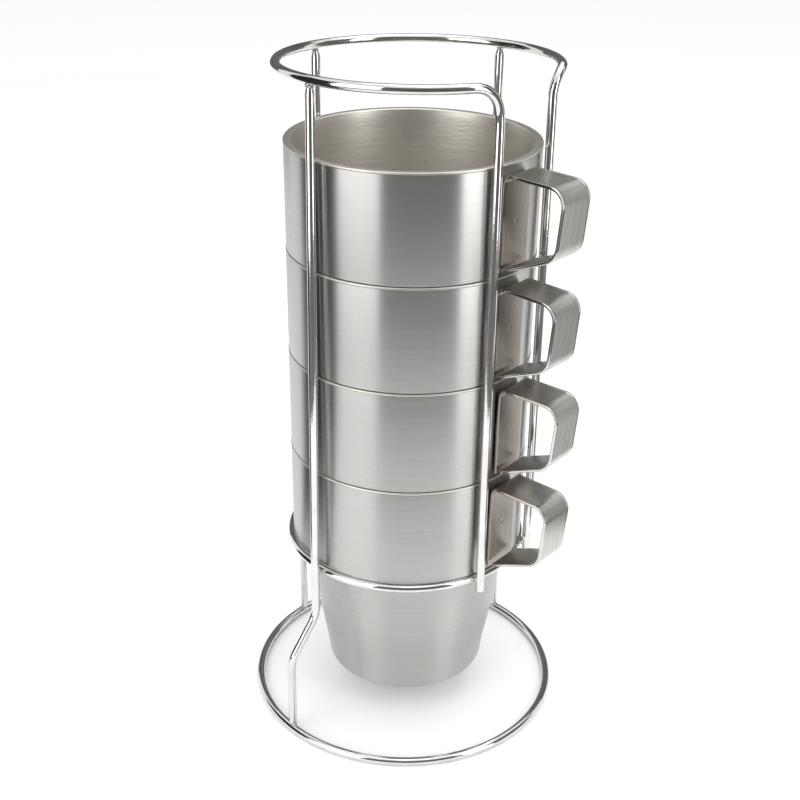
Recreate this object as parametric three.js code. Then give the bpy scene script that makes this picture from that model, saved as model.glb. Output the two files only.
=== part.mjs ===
// Four double-wall steel mugs nested in a wire rack, their handles standing in a slot between two guard wires.
// Millimetres, +Z up. +X points out through the handle slot. The origin is the middle of the footprint, on the
// surface that the base ring stands on.
import * as THREE from "three";

// Rack: round wire, bent and welded. Radii are from the rack's axis, angles are in degrees from +X.
const WIRE_DIAMETER = 3.2;
const WIRE_SIDES = 8;
const TOUCH_GAP = 0.3;
const BEND_FACETS = 6;
const WIRE_SPACING = WIRE_DIAMETER + TOUCH_GAP;
const RING_FACETS = 48;
const BASE_RING_RADIUS = 59.6;
const SUPPORT_RING_RADIUS = 44.9;
const HOOP_RADIUS = 48.3;
const HOOP_CENTRE = new THREE.Vector2(1.7, 1);
const HOOP_HEIGHT = 252.4;
const HOOP_SLOPE = new THREE.Vector2(0.013, -0.016); // rise per millimetre along X and Y
const HOOP_FACETS = 36;
const GUARD_TOP_RADIUS = 47.9;
const GUARD_TAIL = 4; // below the support ring
const REAR_GUARD = { side: 1, angle: 18, bendRadius: 9 };
const FRONT_GUARD = { side: -1, angle: 24.24, bendRadius: 12.5 };
const LEG_FOOT_RADIUS = 58.9;
const LEG_JOG_TOP = 51.5;
const LEG_JOG_BOTTOM = 33;
const LEG_BEND_REACH = 5;
const LEGS = [
  { name: "leg_front", hoopAngle: -104.5, ringAngle: -103.3, footAngle: -106.2 },
  { name: "leg_left", hoopAngle: 170.5, ringAngle: 168, footAngle: 170 },
  { name: "leg_rear", hoopAngle: 82.7, ringAngle: 80.5, footAngle: 77.9 },
];

// Mugs: [radius, height] pairs, heights from the underside of the shoulder that carries each mug.
const MUG_FACETS = 32;
const MUG_AXIS = new THREE.Vector2(0.5, 0.2);
const TOP_RIM_HEIGHT = 226.45;
const STACK_PITCH = 38.7;
const WALL_HEIGHT = 38.2;
const SHELL_OUTSIDE = [
  [27.4, -59.2],
  [30.2, -58.2],
  [31.2, -55.4],
  [34.5, -37],
  [36.8, -18.5],
  [39.9, 0],
  [44.3, 0],
  [44.9, 0.6],
  [45, 37.5],
  [44.7, WALL_HEIGHT],
];
const SHELL_INSIDE = [
  [44.1, WALL_HEIGHT],
  [44.4, 37.4],
  [43.9, 1],
  [43.6, 0.6],
  [39.4, 0.6],
  [36.2, -18.4],
  [33.9, -36.9],
  [30.6, -55.3],
  [29.8, -57.7],
  [27.4, -58.6],
];
const LINER_OUTSIDE = [
  [0, -54.4],
  [27.2, -54.4],
  [30.6, -51],
  [33.3, -37.1],
  [35.6, -18.6],
  [38.8, -0.1],
  [42.5, 36.1],
  [42.8, 37.3],
  [43.8, 37.6],
  [43.8, WALL_HEIGHT],
];
const LINER_INSIDE = [
  [42.9, WALL_HEIGHT],
  [42.3, 37.6],
  [41.9, 36],
  [38.2, 0],
  [35, -18.5],
  [32.7, -37],
  [30, -50.8],
  [27, -53.8],
  [0, -53.8],
];
const BASE_DISC = [
  [0, -57.9],
  [28, -57.9],
  [28, -57.1],
  [0, -57.1],
];

// Handle: one strip bent round, from its fixing plate up, out along the top arm, down the grip and back in.
const HANDLE_THICKNESS = 1.2;
const HANDLE_WIDTH = 14.8;
const HANDLE_START = new THREE.Vector2(45.9, 2.2);
const HANDLE_CORNERS = [
  { at: new THREE.Vector2(45.9, 35.3), radius: 2.4 },
  { at: new THREE.Vector2(69.6, 34.7), radius: 5.5 },
  { at: new THREE.Vector2(67.5, 11.5), radius: 7.4 },
];
const HANDLE_END = new THREE.Vector2(47.8, 3.3);
const HANDLE_TWISTS = [-9.3, -7.3, -11.3, -10.8]; // degrees from +X, lowest mug first

const QUARTER_CIRCLE_REACH = 0.5523; // of the radius: the control arm that makes a cubic curve a quarter circle
const WELD_HEIGHT = TOP_RIM_HEIGHT - WALL_HEIGHT - (HANDLE_TWISTS.length - 1) * STACK_PITCH;
const SUPPORT_RING_HEIGHT = WELD_HEIGHT - WIRE_DIAMETER / 2 - TOUCH_GAP;

const steel = (color, roughness) => new THREE.MeshStandardMaterial({ color, roughness, metalness: 1 });
const object = new THREE.Group();

function add(name, geometry, material, parent = object) {
  const mesh = new THREE.Mesh(geometry, material);
  mesh.name = name;
  parent.add(mesh);
  return mesh;
}

function polar(radius, degrees, height) {
  const angle = THREE.MathUtils.degToRad(degrees);
  return new THREE.Vector3(radius * Math.cos(angle), radius * Math.sin(angle), height);
}

// A path that passes through its points in turn, one extrusion step from each to the next.
class WirePath extends THREE.Curve {
  constructor(points) {
    super();
    this.points = points;
    this.steps = points.length - 1;
  }

  getPoint(t, target = new THREE.Vector3()) {
    return target.copy(this.points[Math.round(t * this.steps)]);
  }

  getPointAt(u, target) {
    return this.getPoint(u, target);
  }

  getTangentAt(u, target = new THREE.Vector3()) {
    const index = Math.round(u * this.steps);
    const before = this.points[Math.max(index - 1, 0)];
    const after = this.points[Math.min(index + 1, this.steps)];
    return target.subVectors(after, before).normalize();
  }
}

// Corners of a wire's cross-section: a regular polygon whose flats are one wire diameter apart.
function wireSection(x = 0, y = 0) {
  const radius = WIRE_DIAMETER / 2 / Math.cos(Math.PI / WIRE_SIDES);
  return Array.from({ length: WIRE_SIDES }, (_, side) => {
    const angle = ((side + 0.5) * 2 * Math.PI) / WIRE_SIDES;
    return new THREE.Vector2(x + radius * Math.cos(angle), y + radius * Math.sin(angle));
  });
}

function bentWire(points) {
  const extrudePath = new WirePath(points);
  const shape = new THREE.Shape(wireSection());
  return new THREE.ExtrudeGeometry(shape, { steps: extrudePath.steps, extrudePath, bevelEnabled: false });
}

function turned(profile, facets) {
  return new THREE.LatheGeometry(profile, facets).rotateX(Math.PI / 2);
}

function wireRing(radius, height) {
  const section = wireSection(radius, height);
  return turned([...section, section[0]], RING_FACETS);
}

function turnedFrom(...pairs) {
  const profile = pairs.map(([radius, height]) => new THREE.Vector2(radius, height));
  return turned([...profile, profile[0]], MUG_FACETS);
}

// A point on the hoop's centre line.
function hoopPoint(degrees) {
  const point = polar(HOOP_RADIUS, degrees, 0);
  const height = HOOP_HEIGHT + HOOP_SLOPE.x * point.x + HOOP_SLOPE.y * point.y;
  return new THREE.Vector3(point.x + HOOP_CENTRE.x, point.y + HOOP_CENTRE.y, height);
}

function guardPoint({ side, angle }, height) {
  const share = (height - SUPPORT_RING_HEIGHT) / (HOOP_HEIGHT - SUPPORT_RING_HEIGHT);
  const radius = THREE.MathUtils.lerp(SUPPORT_RING_RADIUS + WIRE_SPACING, GUARD_TOP_RADIUS, share);
  return polar(radius, side * angle, height);
}

// How far round from +X the hoop's arc ends and the bend into a guard begins.
function bendDegrees({ angle, bendRadius }) {
  return angle + THREE.MathUtils.radToDeg(bendRadius / HOOP_RADIUS);
}

// From the hoop down into a guard: the bend, then the guard's foot.
function guardRun(guard) {
  const degrees = bendDegrees(guard);
  const start = hoopPoint(guard.side * degrees);
  const beyond = hoopPoint(guard.side * (degrees + 1));
  const end = guardPoint(guard, start.z - guard.bendRadius);
  const below = guardPoint(guard, end.z - 1);
  const reach = guard.bendRadius * QUARTER_CIRCLE_REACH;
  const startArm = start.clone().addScaledVector(start.clone().sub(beyond).normalize(), reach);
  const endArm = end.clone().addScaledVector(end.clone().sub(below).normalize(), reach);
  const bend = new THREE.CubicBezierCurve3(start, startArm, endArm, end).getPoints(BEND_FACETS);
  return [...bend, guardPoint(guard, SUPPORT_RING_HEIGHT - GUARD_TAIL)];
}

function hoopWire() {
  const arc = [];
  for (let facet = 1; facet < HOOP_FACETS; facet += 1) {
    const share = facet / HOOP_FACETS;
    arc.push(hoopPoint(THREE.MathUtils.lerp(bendDegrees(REAR_GUARD), 360 - bendDegrees(FRONT_GUARD), share)));
  }
  return bentWire([...guardRun(REAR_GUARD).reverse(), ...arc, ...guardRun(FRONT_GUARD)]);
}

// Replaces each inner corner of a straight-sided line with a short curve.
function roundedLine(corners, reach) {
  const points = [corners[0]];
  for (let index = 1; index < corners.length - 1; index += 1) {
    const at = corners[index];
    const arrive = at.clone().addScaledVector(corners[index - 1].clone().sub(at).normalize(), reach);
    const leave = at.clone().addScaledVector(corners[index + 1].clone().sub(at).normalize(), reach);
    points.push(...new THREE.QuadraticBezierCurve3(arrive, at, leave).getPoints(3));
  }
  return [...points, corners.at(-1)];
}

// A leg hangs from the hoop's underside, passes outside the support ring and stands on the base ring.
function legWire({ hoopAngle, ringAngle, footAngle }) {
  const top = hoopPoint(hoopAngle);
  top.z -= WIRE_DIAMETER / 2 + TOUCH_GAP;
  const corners = [
    top,
    polar(SUPPORT_RING_RADIUS + WIRE_SPACING, ringAngle, SUPPORT_RING_HEIGHT),
    polar(SUPPORT_RING_RADIUS + WIRE_SPACING, ringAngle, LEG_JOG_TOP),
    polar(LEG_FOOT_RADIUS, footAngle, LEG_JOG_BOTTOM),
    polar(LEG_FOOT_RADIUS, footAngle, WIRE_SPACING),
  ];
  return bentWire(roundedLine(corners, LEG_BEND_REACH));
}

// The centre line of the handle strip, in the upright plane through its middle.
function handleLine() {
  const path = new THREE.Path().moveTo(HANDLE_START.x, HANDLE_START.y);
  const stops = [HANDLE_START, ...HANDLE_CORNERS.map((corner) => corner.at), HANDLE_END];
  const points = [HANDLE_START];
  HANDLE_CORNERS.forEach(({ at, radius }, index) => {
    const back = stops[index].clone().sub(at).normalize();
    const ahead = stops[index + 2].clone().sub(at).normalize();
    const turn = Math.PI - Math.acos(back.dot(ahead));
    const tangent = radius * Math.tan(turn / 2);
    const arm = (4 / 3) * Math.tan(turn / 4) * radius;
    const arrive = at.clone().addScaledVector(back, tangent);
    const leave = at.clone().addScaledVector(ahead, tangent);
    const controls = [arrive.clone().addScaledVector(back, -arm), leave.clone().addScaledVector(ahead, -arm)];
    points.push(...new THREE.CubicBezierCurve(arrive, ...controls, leave).getPoints(BEND_FACETS));
  });
  return [...points, HANDLE_END];
}

function bentStrip(line, thickness, width) {
  const edge = (side) =>
    line.map((point, index) => {
      const before = line[Math.max(index - 1, 0)];
      const after = line[Math.min(index + 1, line.length - 1)];
      const along = after.clone().sub(before).normalize();
      return new THREE.Vector2(-along.y, along.x).multiplyScalar((side * thickness) / 2).add(point);
    });
  const shape = new THREE.Shape([...edge(-1), ...edge(1).reverse()]);
  const strip = new THREE.ExtrudeGeometry(shape, { depth: width, bevelEnabled: false });
  return strip.rotateX(Math.PI / 2).translate(0, width / 2, 0);
}

add("base_ring", wireRing(BASE_RING_RADIUS, WIRE_DIAMETER / 2), steel(0xd9dbd8, 0.12));
add("support_ring", wireRing(SUPPORT_RING_RADIUS, SUPPORT_RING_HEIGHT), steel(0xd9dbd8, 0.12));
add("hoop_wire", hoopWire(), steel(0xd9dbd8, 0.12));
LEGS.forEach((leg) => add(leg.name, legWire(leg), steel(0xd9dbd8, 0.12)));

HANDLE_TWISTS.forEach((twist, index) => {
  const name = `mug_${index + 1}`;
  const mug = new THREE.Group();
  mug.position.set(MUG_AXIS.x, MUG_AXIS.y, WELD_HEIGHT + index * STACK_PITCH);
  add(`${name}_shell`, turnedFrom(...SHELL_OUTSIDE, ...SHELL_INSIDE), steel(0xb4b0aa, 0.35), mug);
  add(`${name}_liner`, turnedFrom(...LINER_OUTSIDE, ...LINER_INSIDE), steel(0xb8b4a8, 0.45), mug);
  add(`${name}_base`, turnedFrom(...BASE_DISC), steel(0xb4b0aa, 0.4), mug);
  const strip = bentStrip(handleLine(), HANDLE_THICKNESS, HANDLE_WIDTH);
  const handle = add(`${name}_handle`, strip, steel(0xa8a39b, 0.4), mug);
  handle.rotation.z = THREE.MathUtils.degToRad(twist);
  object.add(mug);
});

const box = new THREE.Box3().setFromObject(object, true);
const middle = box.getCenter(new THREE.Vector3());
object.position.set(-middle.x, -middle.y, -box.min.z);

export default object;
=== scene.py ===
"""Builds the looks of a bent-wire rack that holds a nested stack of double-wall steel mugs."""

import logging  # noqa: E402
import math  # noqa: E402
from collections.abc import Sequence  # noqa: E402
from dataclasses import dataclass, field  # noqa: E402
from enum import Enum  # noqa: E402
from itertools import pairwise  # noqa: E402

import bmesh  # noqa: E402
import bpy  # noqa: E402
from mathutils import Matrix, Vector  # noqa: E402

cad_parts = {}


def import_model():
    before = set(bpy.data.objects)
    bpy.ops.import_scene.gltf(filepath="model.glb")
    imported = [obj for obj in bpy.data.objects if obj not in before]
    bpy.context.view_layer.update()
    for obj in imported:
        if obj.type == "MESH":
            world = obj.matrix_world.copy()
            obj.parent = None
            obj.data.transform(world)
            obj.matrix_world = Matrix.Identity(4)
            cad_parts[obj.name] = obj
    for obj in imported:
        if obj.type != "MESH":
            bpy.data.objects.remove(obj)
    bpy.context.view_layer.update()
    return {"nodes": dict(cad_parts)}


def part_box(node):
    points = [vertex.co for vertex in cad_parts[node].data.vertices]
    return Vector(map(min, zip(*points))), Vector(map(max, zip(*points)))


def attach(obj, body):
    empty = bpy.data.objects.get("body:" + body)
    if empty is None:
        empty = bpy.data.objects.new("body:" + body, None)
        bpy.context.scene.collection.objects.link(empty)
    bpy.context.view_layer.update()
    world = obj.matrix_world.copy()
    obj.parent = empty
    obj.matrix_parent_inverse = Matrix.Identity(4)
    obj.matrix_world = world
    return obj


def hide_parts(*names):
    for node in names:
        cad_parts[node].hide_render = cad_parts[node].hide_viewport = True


log = logging.getLogger("mug_rack")

MM = 0.001
SHARP_EDGE = math.radians(42)
MERGE_DISTANCE = 1e-4  # millimetres
UP = Vector((0, 0, 1))
QUARTER_REACH = 0.5523  # of the radius: the arm that makes a smooth bend a quarter circle
ARC_REACH = 4 / 3  # of the radius times the tangent of a quarter of the turn: the same for any arc
HANDLE_TWISTS = {"mug_1": -9.3, "mug_2": -7.3, "mug_3": -11.3, "mug_4": -10.8}  # degrees from +X
WIRE_END_BEVEL = 0.3  # of the wire's radius
STRAIGHT = 1e-4  # radians: a corner that turns less is left alone
CORNER_ROOM = 0.48  # of the shorter side: the most that rounding a corner may use

Colour = tuple[float, float, float]
Span = tuple[float, float]
Stops = tuple[tuple[float, float], ...]  # positions along a ramp, each with its level
Outline = tuple[tuple[float, float, float], ...]  # radius, height and corner radius of each corner
Mesh = bmesh.types.BMesh
Socket = bpy.types.NodeSocket


class Grain(Enum):
    """A pattern's scale per metre: along X, Y and Z, or along and across a strip."""

    WIRE_CLOUDS = (160.0, 160.0, 160.0)
    WIRE_SPECKS = (1500.0, 1500.0, 1500.0)
    BODY_LINES = (9.0, 9.0, 3400.0)
    BODY_SCRATCHES = (45.0, 45.0, 1300.0)
    BODY_CLOUDS = (38.0, 38.0, 60.0)
    INSIDE_RINGS = (14.0, 14.0, 1500.0)
    INSIDE_RIPPLE = (210.0, 210.0, 1050.0)
    INSIDE_CLOUDS = (55.0, 55.0, 40.0)
    STRIP_LINES = (60.0, 2600.0, 1.0)
    STRIP_BANDS = (34.0, 1150.0, 1.0)
    STRIP_CLOUDS = (260.0, 260.0, 1.0)
    WELD_LUMPS = (900.0, 900.0, 900.0)
    FLOOR_FIBRES = (700.0, 700.0, 700.0)


# ---------------------------------------------------------------- finishes


class Recipe:
    """A material under construction: its nodes, its links and its shader."""

    def __init__(self, name: str, uv: bool = False) -> None:
        """Starts a material.

        Args:
            name: The material's name.
            uv: Whether its patterns follow the piece's own UV map.
        """
        self.material = bpy.data.materials.new(name)
        self.material.use_nodes = True
        self.nodes = self.material.node_tree.nodes
        self.links = self.material.node_tree.links
        self.shader = self.nodes["Principled BSDF"]
        self.place = self.nodes.new("ShaderNodeTexCoord").outputs["UV" if uv else "Object"]

    def noise(self, grain: Grain, detail: float = 3, rough: float = 0.55) -> Socket:
        """A noise between 0 and 1.

        Args:
            grain: Its scale.
            detail: Its number of finer layers.
            rough: How strong the finer layers are.

        Returns:
            The noise's value.
        """
        mapping = self.nodes.new("ShaderNodeMapping")
        mapping.inputs["Scale"].default_value = grain.value
        self.links.new(self.place, mapping.inputs["Vector"])
        texture = self.nodes.new("ShaderNodeTexNoise")
        texture.inputs["Scale"].default_value = 1
        texture.inputs["Detail"].default_value = detail
        texture.inputs["Roughness"].default_value = rough
        self.links.new(mapping.outputs["Vector"], texture.inputs["Vector"])
        return texture.outputs["Fac"]

    def ramp(self, value: Socket, stops: Stops) -> Socket:
        """Turns a value into levels.

        Args:
            value: The value, from 0 to 1.
            stops: Each position and its level.

        Returns:
            The level.
        """
        node = self.nodes.new("ShaderNodeValToRGB")
        elements = node.color_ramp.elements
        while len(elements) < len(stops):
            elements.new(0.5)
        for element, (position, level) in zip(elements, stops):
            element.position = position
            element.color = (level, level, level, 1)
        self.links.new(value, node.inputs["Fac"])
        return node.outputs["Color"]

    def math(self, kind: str, a: Socket | float, b: Socket | float = 0.0) -> Socket:
        """One sum on two values.

        Args:
            kind: Blender's name for the sum.
            a: The first value.
            b: The second value.

        Returns:
            The result.
        """
        node = self.nodes.new("ShaderNodeMath")
        node.operation = kind
        for socket, value in zip(node.inputs, (a, b)):
            if isinstance(value, Socket):
                self.links.new(value, socket)
            else:
                socket.default_value = value
        return node.outputs[0]

    def blend(self, a: Socket, b: Socket, share: float) -> Socket:
        """Adds two values, the second with the given share and the first with the rest."""
        parts = self.math("MULTIPLY", a, 1 - share), self.math("MULTIPLY", b, share)
        return self.math("ADD", *parts)

    def placed_between(self, value: Socket, ends: Span) -> Socket:
        """How far a value lies from the first end to the second, as a share."""
        start, stop = ends
        return self.math("DIVIDE", self.math("SUBTRACT", value, start), stop - start)

    def mix(self, share: Socket, a: Socket | Colour, b: Socket | Colour) -> Socket:
        """Mixes two colours.

        Args:
            share: How much of the second.
            a: The first colour.
            b: The second colour.

        Returns:
            The mixed colour.
        """
        node = self.nodes.new("ShaderNodeMix")
        node.data_type = "RGBA"
        self.links.new(share, node.inputs["Factor"])
        for socket, value in zip((node.inputs[6], node.inputs[7]), (a, b)):
            if isinstance(value, Socket):
                self.links.new(value, socket)
            else:
                socket.default_value = (*value, 1)
        return node.outputs[2]

    def level(self, share: Socket, ends: Span) -> Socket:
        """A level between two ends."""
        low, high = ends
        return self.mix(share, (low,) * 3, (high,) * 3)

    def bump(self, *layers: tuple[Socket, float]) -> None:
        """Adds relief.

        Args:
            layers: Each height pattern and its depth in millimetres.
        """
        last = None
        for height, depth in layers:
            node = self.nodes.new("ShaderNodeBump")
            node.inputs["Distance"].default_value = depth * MM
            self.links.new(height, node.inputs["Height"])
            if last is not None:
                self.links.new(last, node.inputs["Normal"])
            last = node.outputs["Normal"]
        self.links.new(last, self.shader.inputs["Normal"])

    def stretch_highlights(self, amount: float, uv_map: str = "") -> None:
        """Stretches the highlights across the grain.

        Args:
            amount: How strongly.
            uv_map: The map whose U runs along the grain, or nothing where it runs round the Z axis.
        """
        tangent = self.nodes.new("ShaderNodeTangent")
        if uv_map:
            tangent.direction_type = "UV_MAP"
            tangent.uv_map = uv_map
        else:
            tangent.direction_type = "RADIAL"
            tangent.axis = "Z"
        self.shader.inputs["Anisotropic"].default_value = amount
        self.shader.inputs["Anisotropic Rotation"].default_value = 0.25
        self.links.new(tangent.outputs["Tangent"], self.shader.inputs["Tangent"])

    def finish(self, colour: Socket, roughness: Socket) -> bpy.types.Material:
        """Wires up a metal's colour and roughness.

        Args:
            colour: The colour.
            roughness: The roughness.

        Returns:
            The finished material.
        """
        self.shader.inputs["Metallic"].default_value = 1
        self.links.new(colour, self.shader.inputs["Base Color"])
        self.links.new(roughness, self.shader.inputs["Roughness"])
        return self.material


@dataclass(frozen=True)
class PolishedWire:
    """Drawn steel wire, polished bright, clouded and dull in specks. Depths in millimetres."""

    name: str = "polished wire"
    colour: Colour = (0.74, 0.735, 0.72)
    dull: Colour = (0.62, 0.61, 0.59)
    dulling: Stops = ((0.45, 0.0), (0.8, 1.0))
    speckling: Stops = ((0.55, 0.0), (0.75, 0.6))
    roughness: Span = (0.08, 0.2)
    cloud_depth: float = 0.03
    speck_depth: float = 0.004

    def material(self) -> bpy.types.Material:
        """Makes the material."""
        recipe = Recipe(self.name)
        clouds = recipe.noise(Grain.WIRE_CLOUDS, detail=4)
        specks = recipe.noise(Grain.WIRE_SPECKS, detail=2)
        colour = recipe.mix(recipe.ramp(clouds, self.dulling), self.colour, self.dull)
        rough = recipe.level(recipe.ramp(specks, self.speckling), self.roughness)
        recipe.bump((clouds, self.cloud_depth), (specks, self.speck_depth))
        return recipe.finish(colour, rough)


@dataclass(frozen=True)
class BrushedBody:
    """Sheet brushed round the mug: level lines, scratches and clouding. Depths in millimetres."""

    name: str = "brushed body"
    light: Colour = (0.53, 0.523, 0.51)
    dark: Colour = (0.47, 0.463, 0.45)
    toning: Stops = ((0.36, 0.0), (0.64, 1.0))
    scratch_share: float = 0.4
    line_share: float = 0.5
    roughness: Span = (0.27, 0.36)
    line_depth: float = 0.0012
    scratch_depth: float = 0.0008
    stretch: float = 0.9

    def material(self) -> bpy.types.Material:
        """Makes the material."""
        recipe = Recipe(self.name)
        lines = recipe.noise(Grain.BODY_LINES, detail=5, rough=0.7)
        scratches = recipe.noise(Grain.BODY_SCRATCHES)
        clouds = recipe.noise(Grain.BODY_CLOUDS)
        both = recipe.blend(lines, scratches, self.scratch_share)
        colour = recipe.mix(recipe.ramp(both, self.toning), self.dark, self.light)
        rough = recipe.level(recipe.blend(clouds, lines, self.line_share), self.roughness)
        recipe.bump((lines, self.line_depth), (scratches, self.scratch_depth))
        recipe.stretch_highlights(self.stretch)
        return recipe.finish(colour, rough)


@dataclass(frozen=True)
class TurnedInsidePaintedLighter:
    """The liner: satin steel, rippled, with faint rings, a little warm, its colour set well above
    the body's steel as painted light for the lit inside of the cup. Depths in millimetres.
    """

    name: str = "turned inside painted lighter"
    # painted light: both tones are lightened well above the body's steel to stand in for the light
    # that fills the cup; the rings between them are the liner's own
    light: Colour = (0.76, 0.735, 0.68)
    dark: Colour = (0.71, 0.685, 0.63)
    toning: Stops = ((0.35, 0.0), (0.65, 1.0))
    roughness: Span = (0.34, 0.46)
    ripple_depth: float = 0.06
    ring_depth: float = 0.001
    stretch: float = 0.15

    def material(self) -> bpy.types.Material:
        """Makes the material."""
        recipe = Recipe(self.name)
        rings = recipe.noise(Grain.INSIDE_RINGS, rough=0.6)
        clouds = recipe.noise(Grain.INSIDE_CLOUDS)
        ripple = recipe.noise(Grain.INSIDE_RIPPLE, detail=2)
        colour = recipe.mix(recipe.ramp(rings, self.toning), self.dark, self.light)
        rough = recipe.level(clouds, self.roughness)
        recipe.bump((ripple, self.ripple_depth), (rings, self.ring_depth))
        recipe.stretch_highlights(self.stretch)
        return recipe.finish(colour, rough)


@dataclass(frozen=True)
class HandleStrip:
    """Satin strip, rubbed bright at its edges and tinted by heat on its plate and roots.

    The map "strip" gives metres along it and across it from its middle. Depths are in millimetres.
    """

    name: str = "handle strip"
    steel: Colour = (0.68, 0.675, 0.655)
    streak: Colour = (0.47, 0.45, 0.415)
    tint: Colour = (0.23, 0.19, 0.145)
    tint_ends: Span = (0.036, 0.058)
    tint_slant: float = 0.6  # along for each across
    tint_wander: float = 0.008
    tinting: Stops = ((0.0, 0.8), (0.35, 0.5), (1.0, 0.0))
    banding: Stops = ((0.38, 0.6), (0.62, 0.0))
    lining: Stops = ((0.4, 0.45), (0.6, 0.0))
    rubbed_ends: Span = (0.0062, 0.0070)
    rubbed_roughness: float = 0.1
    roughness: Span = (0.24, 0.36)
    line_depth: float = 0.0025
    band_depth: float = 0.006
    dimple: Span = (0.0165, 0.0)
    dimple_radius: float = 0.0011
    dimple_rise: Stops = ((0.3, 0.0), (0.55, 1.0), (0.8, 0.85))
    dimple_depth: float = 0.07
    stretch: float = 0.75

    def stain(self, recipe: Recipe, along: Socket, across: Socket, clouds: Socket) -> Socket:
        """The heat tint: full on the plate, gone part way along the top arm.

        Args:
            recipe: The material.
            along: The place along the strip.
            across: The place across the strip.
            clouds: A noise that its edge follows.

        Returns:
            How strongly it shows.
        """
        slanted = recipe.math("ADD", along, recipe.math("MULTIPLY", across, self.tint_slant))
        wander = recipe.math("ADD", slanted, recipe.math("MULTIPLY", clouds, self.tint_wander))
        return recipe.ramp(recipe.placed_between(wander, self.tint_ends), self.tinting)

    def well(self, recipe: Recipe, along: Socket, across: Socket) -> Socket:
        """The dimple in the plate.

        Args:
            recipe: The material.
            along: The place along the strip.
            across: The place across the strip.

        Returns:
            Its height.
        """
        places = zip((along, across), self.dimple)
        gaps = [recipe.math("SUBTRACT", place, at) for place, at in places]
        squares = [recipe.math("MULTIPLY", gap, gap) for gap in gaps]
        distance = recipe.math("SQRT", recipe.math("ADD", *squares))
        share = recipe.math("DIVIDE", distance, 2 * self.dimple_radius)
        return recipe.ramp(share, self.dimple_rise)

    def material(self) -> bpy.types.Material:
        """Makes the material."""
        recipe = Recipe(self.name, uv=True)
        lines = recipe.noise(Grain.STRIP_LINES, detail=4, rough=0.65)
        bands = recipe.noise(Grain.STRIP_BANDS, detail=4)
        clouds = recipe.noise(Grain.STRIP_CLOUDS, detail=4)
        parts = recipe.nodes.new("ShaderNodeSeparateXYZ")
        recipe.links.new(recipe.place, parts.inputs[0])
        along, across = parts.outputs[0], parts.outputs[1]
        worn = recipe.mix(recipe.ramp(bands, self.banding), self.steel, self.streak)
        stained = recipe.mix(self.stain(recipe, along, across, clouds), worn, self.tint)
        colour = recipe.mix(recipe.ramp(lines, self.lining), stained, self.streak)
        out = recipe.placed_between(recipe.math("ABSOLUTE", across), self.rubbed_ends)
        satin = recipe.level(clouds, self.roughness)
        edge = recipe.ramp(out, ((0.0, 0.0), (1.0, 1.0)))
        rough = recipe.mix(edge, satin, (self.rubbed_roughness,) * 3)
        well = self.well(recipe, along, across)
        recipe.bump((lines, self.line_depth), (bands, self.band_depth), (well, self.dimple_depth))
        recipe.stretch_highlights(self.stretch, uv_map="strip")
        return recipe.finish(colour, rough)


@dataclass(frozen=True)
class WeldMetal:
    """Melted steel: dull, lumpy, brown in patches. Depths in millimetres."""

    name: str = "weld metal"
    bright: Colour = (0.62, 0.61, 0.59)
    burnt: Colour = (0.30, 0.26, 0.22)
    browning: Stops = ((0.4, 0.0), (0.7, 1.0))
    roughness: Span = (0.22, 0.45)
    lump_depth: float = 0.08

    def material(self) -> bpy.types.Material:
        """Makes the material."""
        recipe = Recipe(self.name)
        lumps = recipe.noise(Grain.WELD_LUMPS, detail=4)
        colour = recipe.mix(recipe.ramp(lumps, self.browning), self.bright, self.burnt)
        rough = recipe.level(lumps, self.roughness)
        recipe.bump((lumps, self.lump_depth))
        return recipe.finish(colour, rough)


@dataclass(frozen=True)
class MattSheet:
    """Matt cloth or paper, for the floor and the screens."""

    name: str = "pale floor"
    colour: Colour = (0.95, 0.95, 0.95)
    fibre_shade: float = 0.99
    roughness: float = 0.9

    def material(self) -> bpy.types.Material:
        """Makes the material."""
        recipe = Recipe(self.name)
        fibres = recipe.noise(Grain.FLOOR_FIBRES, detail=2)
        shaded = tuple(level * self.fibre_shade for level in self.colour)
        colour = recipe.mix(fibres, self.colour, shaded)
        recipe.links.new(colour, recipe.shader.inputs["Base Color"])
        recipe.shader.inputs["Roughness"].default_value = self.roughness
        return recipe.material


# ---------------------------------------------------------------- shaping


def polar(radius: float, degrees: float, height: float = 0.0) -> Vector:
    """A point in millimetres from a radius, an angle from +X and a height."""
    angle = math.radians(degrees)
    return Vector((radius * math.cos(angle), radius * math.sin(angle), height))


def arc_between(arms: Sequence[Vector], facets: int) -> list[Vector]:
    """Points along a smooth bend.

    Args:
        arms: Its start, where its first arm points, where its last arm comes from, and its end.
        facets: Steps along it.

    Returns:
        The points, both ends included.
    """
    start, inner, outer, end = arms
    points = []
    for step in range(facets + 1):
        t = step / facets
        rest = 1 - t
        points.append(start * rest**3 + (inner * rest + outer * t) * 3 * t * rest + end * t**3)
    return points


def rounded(corners: Sequence[Vector], radii: Sequence[float], facets: int = 6) -> list[Vector]:
    """Rounds the corners of a line.

    Args:
        corners: The line's corners, first to last.
        radii: The radius at each corner; those of the two ends are not used.
        facets: Steps round each corner.

    Returns:
        The rounded line's points.
    """
    points = [corners[0]]
    for before, at, after, radius in zip(corners, corners[1:], corners[2:], radii[1:]):
        back, ahead = (before - at).normalized(), (after - at).normalized()
        turn = math.pi - back.angle(ahead)
        if radius <= 0 or turn < STRAIGHT:
            points.append(at)
            continue
        room = CORNER_ROOM * min((before - at).length, (after - at).length)
        tangent = min(radius * math.tan(turn / 2), room)
        arm = tangent * ARC_REACH * math.tan(turn / 4) / math.tan(turn / 2)
        start, end = at + back * tangent, at + ahead * tangent
        points += arc_between((start, start - back * arm, end - ahead * arm, end), facets)
    return [*points, corners[-1]]


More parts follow.
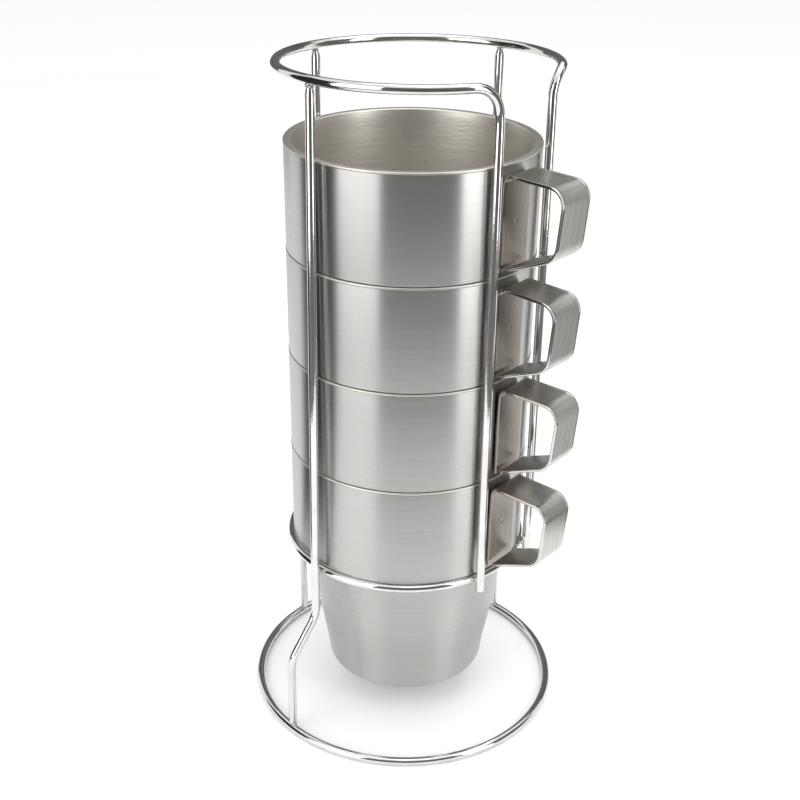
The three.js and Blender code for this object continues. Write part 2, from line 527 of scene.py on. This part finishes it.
def path_frames(path: Sequence[Vector], across: Vector | None = None) -> list[Matrix]:
    """The place and turn of a cross-section at each point of a path.

    Args:
        path: The path's points.
        across: The direction that the section's X keeps, or None to follow the path without twist.

    Returns:
        A matrix at each point, its Z along the path.
    """
    frames = []
    side = across
    for index, point in enumerate(path):
        ahead = (path[min(index + 1, len(path) - 1)] - path[max(index - 1, 0)]).normalized()
        if side is None:
            side = ahead.orthogonal()
        x = (side - ahead * side.dot(ahead)).normalized()
        y = ahead.cross(x)
        side = across or x
        frames.append(Matrix.Translation(point) @ Matrix((x, y, ahead)).transposed().to_4x4())
    return frames


def swept(bm: Mesh, verts: list, frames: Sequence[Matrix]) -> tuple[list, list]:
    """Extrudes a closed outline from frame to frame.

    Args:
        bm: The mesh that holds the outline.
        verts: The outline's vertices, drawn about the origin.
        frames: Where the outline goes.

    Returns:
        The edges of the first and of the last outline.
    """
    edges = list({edge for vert in verts for edge in vert.link_edges})
    first = edges
    bmesh.ops.transform(bm, matrix=frames[0], verts=verts)
    for before, after in pairwise(frames):
        made = bmesh.ops.extrude_edge_only(bm, edges=edges)["geom"]
        verts = [item for item in made if isinstance(item, bmesh.types.BMVert)]
        fresh = set(verts)
        made_edges = (item for item in made if isinstance(item, bmesh.types.BMEdge))
        edges = [edge for edge in made_edges if fresh.issuperset(edge.verts)]
        bmesh.ops.transform(bm, matrix=after @ before.inverted(), verts=verts)
    return first, edges


def piece(
    name: str, bm: Mesh, material: bpy.types.Material, body: str, *nodes: str
) -> bpy.types.Object:
    """Closes a mesh into an object that rides on a body.

    Args:
        name: The piece's name.
        bm: Its mesh in millimetres.
        material: Its material.
        body: The body that it moves with.
        nodes: The CAD nodes that it stands for.

    Returns:
        The object.
    """
    bmesh.ops.scale(bm, vec=Vector((MM,) * 3), verts=bm.verts)
    bmesh.ops.recalc_face_normals(bm, faces=bm.faces)
    for face in bm.faces:
        face.smooth = True
    for edge in bm.edges:
        edge.smooth = edge.calc_face_angle(0) < SHARP_EDGE
    mesh = bpy.data.meshes.new(name)
    bm.to_mesh(mesh)
    bm.free()
    mesh.materials.append(material)
    made = bpy.data.objects.new(name, mesh)
    bpy.context.collection.objects.link(made)
    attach(made, body)
    if nodes:
        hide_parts(*nodes)
    log.info("made %s: %d faces, rides on %s", name, len(mesh.polygons), body)
    return made


def full_turn(bm: Mesh, centre: Vector, steps: int) -> None:
    """Spins the whole of a mesh once round an upright axis and closes the seam.

    Args:
        bm: The mesh.
        centre: A point on the axis.
        steps: Facets round the axis.
    """
    bmesh.ops.spin(
        bm, geom=bm.verts[:] + bm.edges[:], cent=centre, axis=UP, angle=2 * math.pi, steps=steps,
        use_merge=True,
    )
    bmesh.ops.remove_doubles(bm, verts=bm.verts, dist=MERGE_DISTANCE)


def turned(outline: Sequence[Vector], centre: Vector, steps: int, closed: bool = True) -> Mesh:
    """Turns an outline round an upright axis.

    Args:
        outline: Points with the radius in X and the height in Z.
        centre: A point on the axis.
        steps: Facets round the axis.
        closed: Whether the outline's last point joins its first.

    Returns:
        The mesh.
    """
    bm = bmesh.new()
    verts = [bm.verts.new(centre + point) for point in outline]
    for pair in [*pairwise(verts), *([(verts[-1], verts[0])] if closed else [])]:
        bm.edges.new(pair)
    full_turn(bm, centre, steps)
    return bm


def wire(path: Sequence[Vector], radius: float, sides: int, neck: Sequence[float] = ()) -> Mesh:
    """Runs a round wire along a path and closes its ends with a softened edge.

    Args:
        path: The wire's centre line.
        radius: The wire's radius.
        sides: Facets round the wire.
        neck: The wire's thickness at its first points, as shares of its full thickness.

    Returns:
        The mesh.
    """
    bm = bmesh.new()
    verts = bmesh.ops.create_circle(bm, segments=sides, radius=radius)["verts"]
    frames = path_frames(path)
    for index, share in enumerate(neck):
        frames[index] = frames[index] @ Matrix.Diagonal((share, share, 1, 1))
    ends = swept(bm, verts, frames)
    for edges in ends:
        bmesh.ops.edgeloop_fill(bm, edges=edges)
        bmesh.ops.bevel(
            bm, geom=edges, offset=radius * WIRE_END_BEVEL, offset_type="OFFSET", segments=3,
            profile=0.5, affect="EDGES", material=-1,
        )
    return bm


# ---------------------------------------------------------------- the rack


@dataclass
class WireRack:
    """Base ring, support ring, hoop with its guards, and legs, all of one wire. Millimetres.

    Side 1 is the rear guard's and side -1 the front guard's. Angles are in degrees from +X.
    """

    centre: Vector
    wire_radius: float = 1.6
    sides: int = 20
    ring_steps: int = 160
    hoop_steps: int = 110
    guard_steps: int = 24
    bend_steps: int = 14
    leg_bend_steps: int = 12
    spacing: float = 3.5  # between the centre lines of two wires that are welded side by side
    base_radius: float = 59.6
    support_radius: float = 44.9
    support_height: float = 70.25
    hoop_radius: float = 48.3
    hoop_centre: Vector = field(default_factory=lambda: Vector((1.7, 1.0, 0)))
    hoop_height: float = 252.4
    hoop_slope: Span = (0.013, -0.016)  # rise along X and Y
    bend_radii: dict[int, float] = field(default_factory=lambda: {1: 9, -1: 12.5})
    guard_angles: dict[int, float] = field(default_factory=lambda: {1: 18, -1: 24.24})
    guard_top_radius: float = 47.9
    guard_tail: float = 4
    foot_radius: float = 58.9
    jog_heights: Span = (51.5, 33)
    leg_bends: tuple[float, ...] = (0, 30, 14, 14, 0)
    legs: tuple[tuple[str, float, float, float], ...] = (  # angles at the hoop, ring and foot
        ("leg_front", -104.5, -103.3, -106.2),
        ("leg_left", 170.5, 168, 170),
        ("leg_rear", 82.7, 80.5, 77.9),
    )
    leg_neck: Stops = ((0, 0.6), (0.8, 0.72), (1.7, 0.9), (2.6, 0.98), (3.4, 1))
    hoop_bead: Vector = field(default_factory=lambda: Vector((1.35, 1.2, 1.25)))
    ring_bead: Vector = field(default_factory=lambda: Vector((1.5, 1.0, 0.9)))
    foot_bead: Vector = field(default_factory=lambda: Vector((1.8, 1.0, 1.1)))
    guard_bead: Vector = field(default_factory=lambda: Vector((1.7, 1.2, 1.0)))
    hoop_bead_offset: float = 0.35
    foot_bead_drop: float = 0.6
    bead_swell: float = 0.08
    bead_ripples: tuple[int, int, int] = (5, 3, 4)
    wire_finish: PolishedWire = PolishedWire()
    weld_finish: WeldMetal = WeldMetal()

    def hoop_point(self, degrees: float) -> Vector:
        """A point on the hoop's centre line.

        Args:
            degrees: Its angle round the hoop.

        Returns:
            The point.
        """
        point = polar(self.hoop_radius, degrees)
        rise = self.hoop_slope[0] * point.x + self.hoop_slope[1] * point.y
        return self.hoop_centre + point + UP * (self.hoop_height + rise)

    def guard_point(self, side: int, height: float) -> Vector:
        """A point on a guard wire's centre line.

        Args:
            side: Which guard.
            height: The point's height.

        Returns:
            The point.
        """
        share = (height - self.support_height) / (self.hoop_height - self.support_height)
        foot = self.support_radius + self.spacing
        radius = foot + (self.guard_top_radius - foot) * share
        return polar(radius, side * self.guard_angles[side], height)

    def bend_turn(self, side: int) -> float:
        """How far round the hoop's arc ends on a side."""
        return self.guard_angles[side] + math.degrees(self.bend_radii[side] / self.hoop_radius)

    def guard_run(self, side: int) -> list[Vector]:
        """The bend from the hoop down into a guard, then the guard to its foot.

        Args:
            side: Which guard.

        Returns:
            The centre line's points.
        """
        turn, bend = self.bend_turn(side), self.bend_radii[side]
        start, beyond = self.hoop_point(side * turn), self.hoop_point(side * (turn + 1))
        end = self.guard_point(side, start.z - bend)
        below = self.guard_point(side, end.z - 1)
        reach = bend * QUARTER_REACH
        inner = start + (start - beyond).normalized() * reach
        outer = end + (end - below).normalized() * reach
        points = arc_between((start, inner, outer, end), self.bend_steps)
        drop = self.support_height - self.guard_tail - end.z
        for step in range(1, self.guard_steps + 1):
            points.append(self.guard_point(side, end.z + drop * step / self.guard_steps))
        return points

    def hoop_path(self) -> list[Vector]:
        """The whole hoop wire, from the rear guard's foot round to the front one's."""
        first, last = self.bend_turn(1), 360 - self.bend_turn(-1)
        each = (last - first) / self.hoop_steps
        arc = [self.hoop_point(first + each * step) for step in range(1, self.hoop_steps)]
        return [*reversed(self.guard_run(1)), *arc, *self.guard_run(-1)]

    def leg_path(self, hoop: float, ring: float, foot: float) -> list[Vector]:
        """A leg from under the hoop down past the support ring and out to the base ring.

        Args:
            hoop: Its angle at the hoop.
            ring: Its angle at the support ring.
            foot: Its angle at the base ring.

        Returns:
            The centre line's points.
        """
        top = self.hoop_point(hoop) - UP * (self.spacing - self.wire_radius)
        high, low = self.jog_heights
        beside = self.support_radius + self.spacing
        corners = [
            top,
            polar(beside, ring, self.support_height),
            polar(beside, ring, high),
            polar(self.foot_radius, foot, low),
            polar(self.foot_radius, foot, self.spacing),
        ]
        path = rounded(corners, self.leg_bends, self.leg_bend_steps)
        down = (path[1] - top).normalized()
        return [*(top + down * depth for depth, _ in self.leg_neck), *path[1:]]

    def ring(self, radius: float, height: float) -> Mesh:
        """A closed ring of wire.

        Args:
            radius: The radius of its centre line.
            height: The height of its centre line.

        Returns:
            The mesh.
        """
        bm = bmesh.new()
        spot = Vector((radius, 0, height))
        made = bmesh.ops.create_circle(bm, segments=self.sides, radius=self.wire_radius)
        upright = Matrix.Translation(spot) @ Matrix.Rotation(math.pi / 2, 4, "X")
        bmesh.ops.transform(bm, matrix=upright, verts=made["verts"])
        full_turn(bm, Vector(), self.ring_steps)
        return bm

    def bead(self, bm: Mesh, at: Vector, along: Vector, size: Vector) -> None:
        """Adds one lump of weld metal.

        Args:
            bm: The mesh that takes it.
            at: Its middle.
            along: The direction of its length.
            size: Its half length, half height and half width.
        """
        verts = bmesh.ops.create_icosphere(bm, subdivisions=3, radius=1)["verts"]
        round_x, shift_x, round_y = self.bead_ripples
        for vert in verts:
            wave = math.sin(round_x * vert.co.x + shift_x * at.x)
            vert.co *= 1 + self.bead_swell * wave * math.cos(round_y * vert.co.y + at.z)
        x = along.normalized()
        y = UP if abs(x.z) < 0.9 else polar(1, 0)
        y = (y - x * y.dot(x)).normalized()
        turn = Matrix((x, y, x.cross(y))).transposed().to_4x4()
        place = Matrix.Translation(at) @ turn @ Matrix.Diagonal((*size, 1))
        bmesh.ops.transform(bm, matrix=place, verts=verts)

    def welds(self) -> dict[str, Mesh]:
        """The weld metal between crossing wires, one mesh for each leg and guard."""
        meshes = {}
        half = self.spacing / 2
        for name, hoop, ring, foot in self.legs:
            bm = bmesh.new()
            path = self.leg_path(hoop, ring, foot)
            along = self.hoop_point(hoop + 1) - self.hoop_point(hoop - 1)
            under_hoop = path[0] + UP * self.hoop_bead_offset + polar(self.hoop_bead_offset, hoop)
            self.bead(bm, under_hoop, along, self.hoop_bead)
            beside_ring = polar(self.support_radius + half, ring, self.support_height)
            self.bead(bm, beside_ring, polar(1, ring + 90), self.ring_bead)
            over_base = path[-1] - UP * self.foot_bead_drop
            self.bead(bm, over_base, polar(1, foot + 90), self.foot_bead)
            meshes[f"weld_{name}"] = bm
        for side, name in ((1, "weld_guard_rear"), (-1, "weld_guard_front")):
            bm = bmesh.new()
            turn = side * self.guard_angles[side]
            beside_ring = polar(self.support_radius + half, turn, self.support_height)
            self.bead(bm, beside_ring, UP, self.guard_bead)
            meshes[name] = bm
        return meshes

    def build(self) -> None:
        """Builds and dresses every wire and weld."""
        steel = self.wire_finish.material()
        meshes = {
            "base_ring": self.ring(self.base_radius, self.wire_radius),
            "support_ring": self.ring(self.support_radius, self.support_height),
            "hoop_wire": wire(self.hoop_path(), self.wire_radius, self.sides),
        }
        neck = [share for _, share in self.leg_neck]
        for name, *angles in self.legs:
            meshes[name] = wire(self.leg_path(*angles), self.wire_radius, self.sides, neck)
        for name, bm in meshes.items():
            bmesh.ops.translate(bm, vec=self.centre, verts=bm.verts)
            made = piece(f"{name}_polished", bm, steel, "rack", name)
        melted = self.weld_finish.material()
        for name, bm in self.welds().items():
            bmesh.ops.translate(bm, vec=self.centre, verts=bm.verts)
            piece(name, bm, melted, "rack")


# ---------------------------------------------------------------- the mugs


@dataclass
class MugFinishes:
    """The materials that all the mugs share."""

    body: bpy.types.Material
    inside: bpy.types.Material
    handle: bpy.types.Material


@dataclass
class Mug:
    """One double-wall mug with a strip handle. Millimetres, heights from under the shoulder."""

    body: str
    centre: Vector
    twist: float
    steps: int = 144
    wall_height: float = 38.2
    shell_outside: Outline = (
        (27.4, -59.2, 0),
        (31.0, -58.9, 3.6),
        (31.7, -52.5, 60),
        (34.5, -37, 300),
        (36.9, -18.5, 300),
        (39.9, -0.1, 0.8),
        (44.85, -0.1, 0.45),
        (44.95, 37.5, 0.1),
    )
    shell_inside: Outline = (
        (44.3, 37.5, 0),
        (43.8, 0.65, 0.4),
        (39.4, 0.6, 0.4),
        (36.3, -18.4, 300),
        (33.9, -36.9, 300),
        (31.0, -52.4, 60),
        (30.4, -58.2, 3.0),
        (27.4, -58.6, 0),
    )
    liner_outside: Outline = (
        (0, -54.4, 0),
        (29.4, -54.4, 4.2),
        (33.3, -37.1, 200),
        (35.6, -18.6, 200),
        (38.8, -0.1, 200),
        (42.5, 36.2, 0.5),
        (43.0, 37.6, 0.3),
        (45.0, 37.6, 0.1),
    )
    liner_inside: Outline = (
        (45.0, 38.35, 0.35),
        (42.25, 38.35, 0.6),
        (41.9, 35.5, 3),
        (38.2, 0, 200),
        (35, -18.5, 200),
        (32.7, -37, 200),
        (28.9, -53.8, 3.4),
        (0, -53.8, 0),
    )
    base_disc: Outline = (
        (0, -57.9, 0),
        (19, -57.9, 0.4),
        (20, -57.45, 0.4),
        (21, -57.9, 0.4),
        (28, -57.9, 0.2),
        (28, -57.1, 0.2),
        (0, -57.1, 0),
    )
    strip_line: Outline = (
        (45.9, 2.2, 0),
        (45.9, 20, 0),
        (45.9, 35.3, 2.4),
        (69.6, 34.7, 5.5),
        (67.5, 11.5, 7.4),
        (47.8, 3.3, 0),
    )
    strip_steps: int = 14
    strip_thickness: float = 1.2
    strip_width: float = 14.8
    strip_edge: float = 0.75
    strip_slope: float = 0.3  # width of the step down from the edge
    strip_hollow: float = 0.1
    strip_corners: tuple[float, ...] = (0.4, 0.4, 0.35, 0.2, 0.2, 0.2, 0.2, 0.35)
    strip_corner_steps: int = 4
    plate_radius: float = 45.9
    plate_reach: float = 1.5
    plate_top: float = 35
    plate_ease: float = 5

    def shell(self) -> Mesh:
        """The outer wall: tapered cup, shoulder and straight collar, one sheet thick."""
        return self.turned_sheet(self.shell_outside + self.shell_inside)

    def liner(self) -> Mesh:
        """The inner cup with the rim lip that is folded out over the shell."""
        return self.turned_sheet(self.liner_outside + self.liner_inside)

    def base(self) -> Mesh:
        """The disc pressed into the foot, with a shallow ring struck in it."""
        return self.turned_sheet(self.base_disc)

    def turned_sheet(self, outline: Outline) -> Mesh:
        """Turns a closed outline round the mug's axis.

        Args:
            outline: The outline's corners.

        Returns:
            The mesh.
        """
        corners = [Vector((radius, 0, height)) for radius, height, _ in outline]
        points = rounded(corners, [corner for *_, corner in outline])
        return turned(points, self.centre, self.steps, closed=corners[0].x > 0)

    def strip_section(self) -> list[Vector]:
        """The strip's cross-section: flat, with a low rounded band along each edge."""
        half, thick = self.strip_width / 2, self.strip_thickness / 2
        flat = half - self.strip_edge
        sunk, foot = thick - self.strip_hollow, flat - self.strip_slope
        outline = [
            (-half, -thick),
            (half, -thick),
            (half, thick),
            (flat, thick),
            (foot, sunk),
            (-foot, sunk),
            (-flat, thick),
            (-half, thick),
        ]
        ring = [Vector((x, y, 0)) for x, y in outline]
        radii = (0, *self.strip_corners, 0)
        return rounded([ring[-1], *ring, ring[0]], radii, self.strip_corner_steps)[1:-1]

    def handle(self) -> Mesh:
        """The handle strip, mapped in metres along and across for its grain and stain."""
        corners = [Vector((radius, 0, height)) for radius, height, _ in self.strip_line]
        line = rounded(corners, [corner for *_, corner in self.strip_line], self.strip_steps)
        bm = bmesh.new()
        verts = [bm.verts.new(point) for point in self.strip_section()]
        for pair in zip(verts, verts[1:] + verts[:1]):
            bm.edges.new(pair)
        ends = swept(bm, verts, path_frames(line, across=Vector((0, 1, 0))))
        bm.verts.index_update()
        lengths = [0.0]
        for before, after in pairwise(line):
            lengths.append(lengths[-1] + (after - before).length)
        layer = bm.loops.layers.uv.new("strip")
        for face in bm.faces:
            for corner in face.loops:
                row = corner.vert.index // len(verts)
                corner[layer].uv = (lengths[row] * MM, corner.vert.co.y * MM)
        for edges in ends:
            bmesh.ops.edgeloop_fill(bm, edges=edges)
        self.wrap_plate(bm)
        turn = Matrix.Rotation(math.radians(self.twist), 4, "Z")
        bmesh.ops.transform(bm, matrix=Matrix.Translation(self.centre) @ turn, verts=bm.verts)
        return bm

    def wrap_plate(self, bm: Mesh) -> None:
        """Bends the fixing plate to the mug's round wall, easing off towards the top arm.

        Args:
            bm: The strip's mesh, before it is turned and put in place.
        """
        for vert in bm.verts:
            if vert.co.x < self.plate_radius + self.plate_reach:
                ease = min(max((self.plate_top - vert.co.z) / self.plate_ease, 0), 1)
                share = ease * ease * (3 - 2 * ease)
                sag = self.plate_radius - math.sqrt(self.plate_radius**2 - vert.co.y**2)
                vert.co.x -= share * sag

    def build(self, finishes: MugFinishes) -> None:
        """Builds and dresses the mug.

        Args:
            finishes: The shared materials.
        """
        body = self.body
        parts = (
            ("shell", "brushed", self.shell(), finishes.body, "mug_outside"),
            ("liner", "turned", self.liner(), finishes.inside, "mug_inside"),
            ("base", "pressed", self.base(), finishes.body, "mug_outside"),
            ("handle", "bent", self.handle(), finishes.handle, "handle_strip"),
        )
        for part, look, bm, material, slot in parts:
            piece(f"{body}_{part}_{look}", bm, material, body, f"{body}_{part}")


# ---------------------------------------------------------------- the studio


class Tone(Enum):
    """How dark a studio screen is."""

    GREY = 0.11
    BLACK = 0.015


@dataclass(frozen=True)
class Screen:
    """A standing cloth with an apron on the floor, seen only in reflections.

    Angles are in degrees from the camera, sizes in metres.
    """

    name: str
    start: float
    stop: float
    apron: float
    tone: Tone
    reach: float = 1.25
    height: float = 1.3
    steps: int = 24

    def build(self, centre: Vector, facing: float) -> None:
        """Hangs the screen.

        Args:
            centre: The middle of the studio.
            facing: The camera's own angle from +X.
        """
        bm = bmesh.new()
        outline = ((self.apron, 0, MM), (self.reach, 0, MM), (self.reach, 0, self.height))
        verts = [bm.verts.new(point) for point in outline]
        edges = [bm.edges.new(pair) for pair in pairwise(verts)]
        turn = Matrix.Rotation(math.radians(facing + self.start), 3, "Z")
        bmesh.ops.rotate(bm, cent=Vector(), matrix=turn, verts=verts)
        sweep = math.radians(self.stop - self.start)
        bmesh.ops.spin(
            bm, geom=verts + edges, cent=Vector(), axis=UP, angle=sweep, steps=self.steps
        )
        bmesh.ops.translate(bm, vec=centre, verts=bm.verts)
        mesh = bpy.data.meshes.new(self.name)
        bm.to_mesh(mesh)
        bm.free()
        mesh.materials.append(MattSheet(f"{self.name} cloth", (self.tone.value,) * 3).material())
        screen = bpy.data.objects.new(self.name, mesh)
        screen.visible_camera = screen.visible_diffuse = screen.visible_shadow = False
        bpy.context.collection.objects.link(screen)


@dataclass(frozen=True)
class Softbox:
    """A lit panel. Its angle is from the camera, turning right as it sees it. Metres and watts."""

    name: str
    angle: float
    distance: float
    middle: float
    width: float
    height: float
    power: float

    def build(self, centre: Vector, facing: float) -> None:
        """Hangs the panel.

        Args:
            centre: The middle of the studio.
            facing: The camera's own angle from +X.
        """
        data = bpy.data.lights.new(self.name, "AREA")
        data.shape = "RECTANGLE"
        data.size, data.size_y, data.energy = self.width, self.height, self.power
        lamp = bpy.data.objects.new(self.name, data)
        place = centre + polar(self.distance, facing + self.angle, self.middle)
        aim = centre + UP * (self.middle if self.distance > self.middle else 0) - place
        turn = aim.to_track_quat("-Z", "Y").to_matrix().to_4x4()
        lamp.matrix_world = Matrix.Translation(place) @ turn
        lamp.visible_camera = False
        bpy.context.collection.objects.link(lamp)


@dataclass
class Studio:
    """Floor, soft lights, screens and camera. Metres."""

    centre: Vector
    camera_place: Vector = field(default_factory=lambda: Vector((0.2230, -0.3777, 0.3387)))
    camera_turn: tuple[float, float, float] = (30.93, 64.07, 0.73)
    lens: float = 57.76  # millimetres, as is the sensor
    sensor: float = 36
    clip_start: float = 0.01
    floor_side: float = 6.0
    room_level: float = 1.0
    softboxes: tuple[Softbox, ...] = (
        Softbox("left softbox", -46.5, 0.65, 0.36, 0.46, 0.8, 2.5),
        Softbox("right softbox", 52.5, 0.65, 0.36, 0.24, 0.8, 1.8),
        Softbox("top softbox", 120.0, 0.2, 1.2, 0.9, 0.9, 3.5),
    )
    screens: tuple[Screen, ...] = (
        Screen("left_screen", -112, -69, 0.16, Tone.BLACK),
        Screen("front_screen", -70, 63, 0.33, Tone.GREY),
        Screen("right_screen", 63, 102, 0.18, Tone.GREY),
        Screen("back_screen", 116, 228, 1.24, Tone.GREY),
    )

    def floor(self) -> None:
        """Lays the pale floor."""
        bm = bmesh.new()
        bmesh.ops.create_grid(bm, x_segments=2, y_segments=2, size=self.floor_side)
        mesh = bpy.data.meshes.new("floor")
        bm.to_mesh(mesh)
        bm.free()
        mesh.materials.append(MattSheet().material())
        floor = bpy.data.objects.new("floor", mesh)
        bpy.context.collection.objects.link(floor)

    def light(self) -> None:
        """Hangs the soft panels and the screens, and sets the room's level."""
        facing = math.degrees(math.atan2(self.camera_place.y, self.camera_place.x))
        for hung in (*self.softboxes, *self.screens):
            hung.build(self.centre, facing)
        world = bpy.data.worlds.new("room")
        bpy.context.scene.world = world
        world.use_nodes = True
        background = world.node_tree.nodes["Background"]
        background.inputs["Color"].default_value = (*(self.room_level,) * 3, 1)

    def camera(self) -> None:
        """Places the camera."""
        data = bpy.data.cameras.new("camera")
        data.lens, data.sensor_width, data.sensor_fit = self.lens, self.sensor, "HORIZONTAL"
        data.clip_start = self.clip_start
        camera = bpy.data.objects.new("camera", data)
        camera.matrix_world = Matrix.Translation(self.centre + self.camera_place)
        for degrees, about in zip(self.camera_turn, "ZXZ"):
            camera.matrix_world @= Matrix.Rotation(math.radians(degrees), 4, about)
        bpy.context.collection.objects.link(camera)
        bpy.context.scene.camera = camera

    def build(self) -> None:
        """Sets the whole studio up."""
        self.floor()
        self.light()
        self.camera()
        bpy.context.scene.view_settings.view_transform = "Standard"


def node_middle(node: str) -> Vector:
    """The middle of a CAD node's box, in metres."""
    low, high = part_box(node)
    return (Vector(low) + Vector(high)) / 2


def main() -> None:
    """Builds the rack, the mugs and the studio in order, and logs how many nodes were dressed."""
    logging.basicConfig(level=logging.INFO, format="%(name)s: %(message)s")
    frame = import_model()
    ring = node_middle("base_ring")
    axis = Vector((ring.x, ring.y, 0))
    WireRack(axis / MM).build()
    finishes = MugFinishes(
        BrushedBody().material(), TurnedInsidePaintedLighter().material(), HandleStrip().material()
    )
    for body, twist in HANDLE_TWISTS.items():
        middle = node_middle(f"{body}_shell")
        top = Vector(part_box(f"{body}_shell")[1]).z
        mug = Mug(body, Vector((middle.x, middle.y, top)) / MM, twist)
        mug.centre.z -= mug.wall_height
        mug.build(finishes)
    Studio(axis).build()
    log.info("dressed %d nodes", len(frame["nodes"]))


if __name__ == "__main__":
    main()
